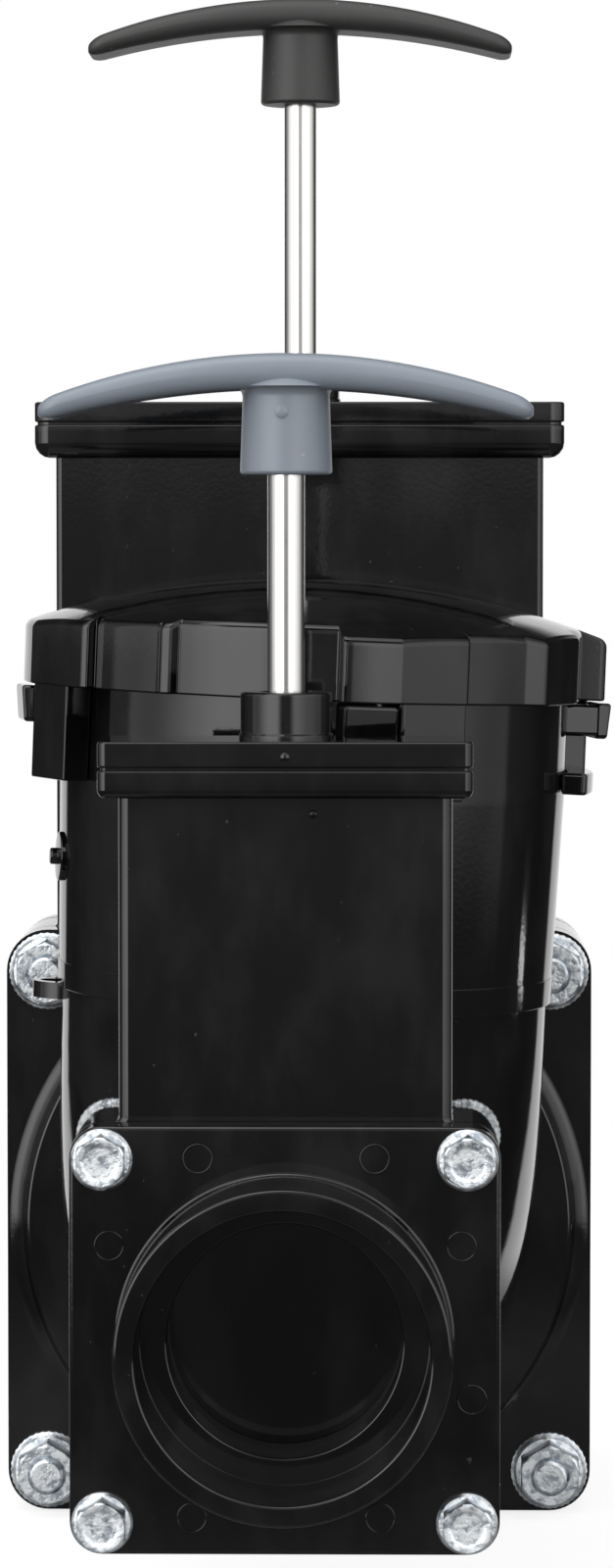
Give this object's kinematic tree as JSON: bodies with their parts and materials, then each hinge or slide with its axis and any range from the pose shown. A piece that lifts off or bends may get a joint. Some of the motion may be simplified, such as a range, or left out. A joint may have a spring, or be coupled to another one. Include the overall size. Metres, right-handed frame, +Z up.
{
  "type": "rv waste valve",
  "caption": "Moulded waste outlet elbow with a small and a large gate valve, pull rods with T-handles, pipe sockets, and a bayonet outlet closed by a twist cap.",
  "frame": {"origin": "centre of the large pipe socket's mouth, on the pipe axis", "axes": "+Y along the pipe axis out of the large socket, +Z up along the pull rods, +X to the right seen from the small socket"},
  "size_m": [0.115, 0.226, 0.2955],
  "materials": {
    "black_plastic": "glossy moulded plastic",
    "dark_plastic": "satin moulded plastic",
    "grey_plastic": "satin moulded plastic",
    "rubber": "matte",
    "rod_steel": "polished",
    "zinc": "bright zinc plated"
  },
  "bodies": {
    "valve": {"outlet_elbow": "black_plastic", "bayonet_outlet": "black_plastic", "front_hub_flange": "black_plastic", "front_valve_body": "black_plastic", "front_bonnet_cap": "black_plastic", "front_gland": "black_plastic", "front_outer_seal": "rubber", "front_inner_seal": "rubber", "rear_hub_flange": "black_plastic", "rear_valve_body": "black_plastic", "rear_bonnet_cap": "black_plastic", "rear_gland": "black_plastic", "rear_outer_seal": "rubber", "rear_inner_seal": "rubber", "front_bolt_1": "zinc", "front_bolt_2": "zinc", "front_bolt_3": "zinc", "front_bolt_4": "zinc", "front_nut_1": "zinc", "front_nut_2": "zinc", "front_nut_3": "zinc", "front_nut_4": "zinc", "rear_bolt_1": "zinc", "rear_bolt_2": "zinc", "rear_bolt_3": "zinc", "rear_bolt_4": "zinc", "rear_nut_1": "zinc", "rear_nut_2": "zinc", "rear_nut_3": "zinc", "rear_nut_4": "zinc"},
    "front_gate": {"front_blade": "black_plastic", "front_rod": "rod_steel", "front_handle": "grey_plastic"},
    "rear_gate": {"rear_blade": "black_plastic", "rear_rod": "rod_steel", "rear_handle": "dark_plastic"},
    "twist_cap": {"bayonet_cap": "black_plastic", "cap_gasket": "rubber"}
  },
  "joints": [
    {"name": "front_gate_slide", "type": "slide", "parent": "valve", "child": "front_gate", "axis": [0, 0, 1], "range_m": [0, 0.045]},
    {"name": "rear_gate_slide", "type": "slide", "parent": "valve", "child": "rear_gate", "axis": [0, 0, 1], "range_m": [0, 0.082]},
    {"name": "cap_turn", "type": "hinge", "parent": "valve", "child": "twist_cap", "pos_m": [0.00403, -0.12, 0.10492], "axis": [0.0384, 0, 0.9993], "range_deg": [0, 34]}
  ]
}
